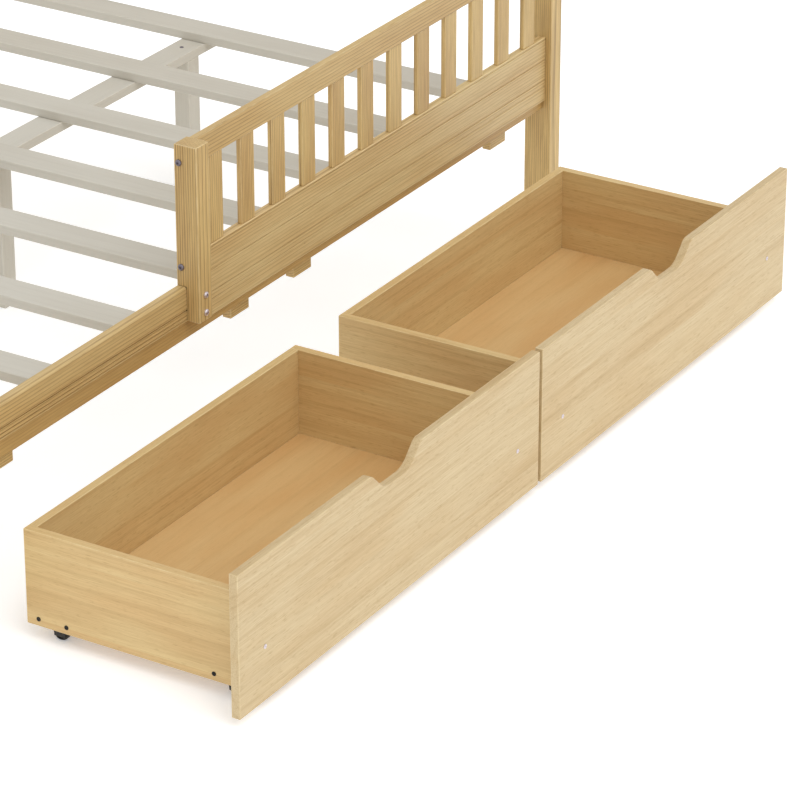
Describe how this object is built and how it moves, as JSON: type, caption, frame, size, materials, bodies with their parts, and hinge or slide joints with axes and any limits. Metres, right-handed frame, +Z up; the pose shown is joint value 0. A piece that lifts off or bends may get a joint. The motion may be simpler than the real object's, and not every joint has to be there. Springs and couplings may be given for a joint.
{
  "type": "platform bed with storage drawers",
  "caption": "Wooden platform bed with slatted deck, guard rails at the head half and rolling storage drawers on one side.",
  "frame": {"origin": "on the floor, under the middle of the whole object with its drawers pulled out", "axes": "+X along the bed to the head end, +Y away from the drawer side, +Z up"},
  "size_m": [2, 2.0486, 0.9],
  "materials": {
    "frame_wood": "clear satin lacquer",
    "drawer_wood": "clear satin lacquer",
    "deck_wood": "unfinished",
    "plywood": "unfinished",
    "bolt": "zinc plated",
    "screw": "dark coated",
    "caster_steel": "black coated sheet",
    "wheel": "moulded"
  },
  "bodies": {
    "frame": {"centre_beam_foot": "deck_wood", "centre_beam_head": "deck_wood", "centre_legs": "deck_wood", "drawer_stops": "frame_wood", "foot_board": "frame_wood", "foot_post_drawer_side": "frame_wood", "foot_post_far_side": "frame_wood", "frame_bolts": "bolt", "guard_balusters_drawer_side": "frame_wood", "guard_balusters_far_side": "frame_wood", "guard_board_drawer_side": "frame_wood", "guard_board_far_side": "frame_wood", "guard_post_drawer_side": "frame_wood", "guard_post_far_side": "frame_wood", "guard_top_rail_drawer_side": "frame_wood", "guard_top_rail_far_side": "frame_wood", "head_end_rail": "frame_wood", "head_post_drawer_side": "frame_wood", "head_post_far_side": "frame_wood", "headboard_balusters": "frame_wood", "headboard_lower_rail": "frame_wood", "headboard_top_rail": "frame_wood", "ledger_drawer_side": "frame_wood", "ledger_far_side": "frame_wood", "side_rail_drawer_side": "frame_wood", "side_rail_far_side": "frame_wood", "slat_1": "deck_wood", "slat_2": "deck_wood", "slat_3": "deck_wood", "slat_4": "deck_wood", "slat_5": "deck_wood", "slat_6": "deck_wood", "slat_7": "deck_wood", "slat_8": "deck_wood", "slat_cleat_drawer_side": "frame_wood", "slat_cleat_far_side": "frame_wood"},
    "drawer_1": {"drawer_1_back_panel": "drawer_wood", "drawer_1_base": "plywood", "drawer_1_caster_axles": "caster_steel", "drawer_1_caster_brackets": "caster_steel", "drawer_1_front": "drawer_wood", "drawer_1_left_panel": "drawer_wood", "drawer_1_right_panel": "drawer_wood", "drawer_1_screws": "screw"},
    "drawer_1_front_left_wheel_body": {"drawer_1_front_left_wheel": "wheel"},
    "drawer_1_front_right_wheel_body": {"drawer_1_front_right_wheel": "wheel"},
    "drawer_1_rear_left_wheel_body": {"drawer_1_rear_left_wheel": "wheel"},
    "drawer_1_rear_right_wheel_body": {"drawer_1_rear_right_wheel": "wheel"},
    "drawer_2": {"drawer_2_back_panel": "drawer_wood", "drawer_2_base": "plywood", "drawer_2_caster_axles": "caster_steel", "drawer_2_caster_brackets": "caster_steel", "drawer_2_front": "drawer_wood", "drawer_2_left_panel": "drawer_wood", "drawer_2_right_panel": "drawer_wood", "drawer_2_screws": "screw"},
    "drawer_2_front_left_wheel_body": {"drawer_2_front_left_wheel": "wheel"},
    "drawer_2_front_right_wheel_body": {"drawer_2_front_right_wheel": "wheel"},
    "drawer_2_rear_left_wheel_body": {"drawer_2_rear_left_wheel": "wheel"},
    "drawer_2_rear_right_wheel_body": {"drawer_2_rear_right_wheel": "wheel"}
  },
  "joints": [
    {"name": "drawer_1_slide", "type": "slide", "parent": "frame", "child": "drawer_1", "axis": [0, 1, 0], "range_m": [0, 0.535]},
    {"name": "drawer_1_front_left_wheel_roll", "type": "hinge", "parent": "drawer_1", "child": "drawer_1_front_left_wheel_body", "pos_m": [-0.853, -0.95775, 0.015], "axis": [1, 0, 0], "continuous": true},
    {"name": "drawer_1_front_right_wheel_roll", "type": "hinge", "parent": "drawer_1", "child": "drawer_1_front_right_wheel_body", "pos_m": [-0.097, -0.95775, 0.015], "axis": [1, 0, 0], "continuous": true},
    {"name": "drawer_1_rear_left_wheel_roll", "type": "hinge", "parent": "drawer_1", "child": "drawer_1_rear_left_wheel_body", "pos_m": [-0.853, -0.61675, 0.015], "axis": [1, 0, 0], "continuous": true},
    {"name": "drawer_1_rear_right_wheel_roll", "type": "hinge", "parent": "drawer_1", "child": "drawer_1_rear_right_wheel_body", "pos_m": [-0.097, -0.61675, 0.015], "axis": [1, 0, 0], "continuous": true},
    {"name": "drawer_2_slide", "type": "slide", "parent": "frame", "child": "drawer_2", "axis": [0, 1, 0], "range_m": [0, 0.535]},
    {"name": "drawer_2_front_left_wheel_roll", "type": "hinge", "parent": "drawer_2", "child": "drawer_2_front_left_wheel_body", "pos_m": [0.097, -0.95775, 0.015], "axis": [1, 0, 0], "continuous": true},
    {"name": "drawer_2_front_right_wheel_roll", "type": "hinge", "parent": "drawer_2", "child": "drawer_2_front_right_wheel_body", "pos_m": [0.853, -0.95775, 0.015], "axis": [1, 0, 0], "continuous": true},
    {"name": "drawer_2_rear_left_wheel_roll", "type": "hinge", "parent": "drawer_2", "child": "drawer_2_rear_left_wheel_body", "pos_m": [0.097, -0.61675, 0.015], "axis": [1, 0, 0], "continuous": true},
    {"name": "drawer_2_rear_right_wheel_roll", "type": "hinge", "parent": "drawer_2", "child": "drawer_2_rear_right_wheel_body", "pos_m": [0.853, -0.61675, 0.015], "axis": [1, 0, 0], "continuous": true}
  ],
  "couplings": [
    {"joint": "drawer_1_front_left_wheel_roll", "follows": "drawer_1_slide", "rad_per_m": -66.667},
    {"joint": "drawer_1_front_right_wheel_roll", "follows": "drawer_1_slide", "rad_per_m": -66.667},
    {"joint": "drawer_1_rear_left_wheel_roll", "follows": "drawer_1_slide", "rad_per_m": -66.667},
    {"joint": "drawer_1_rear_right_wheel_roll", "follows": "drawer_1_slide", "rad_per_m": -66.667},
    {"joint": "drawer_2_front_left_wheel_roll", "follows": "drawer_2_slide", "rad_per_m": -66.667},
    {"joint": "drawer_2_front_right_wheel_roll", "follows": "drawer_2_slide", "rad_per_m": -66.667},
    {"joint": "drawer_2_rear_left_wheel_roll", "follows": "drawer_2_slide", "rad_per_m": -66.667},
    {"joint": "drawer_2_rear_right_wheel_roll", "follows": "drawer_2_slide", "rad_per_m": -66.667}
  ]
}
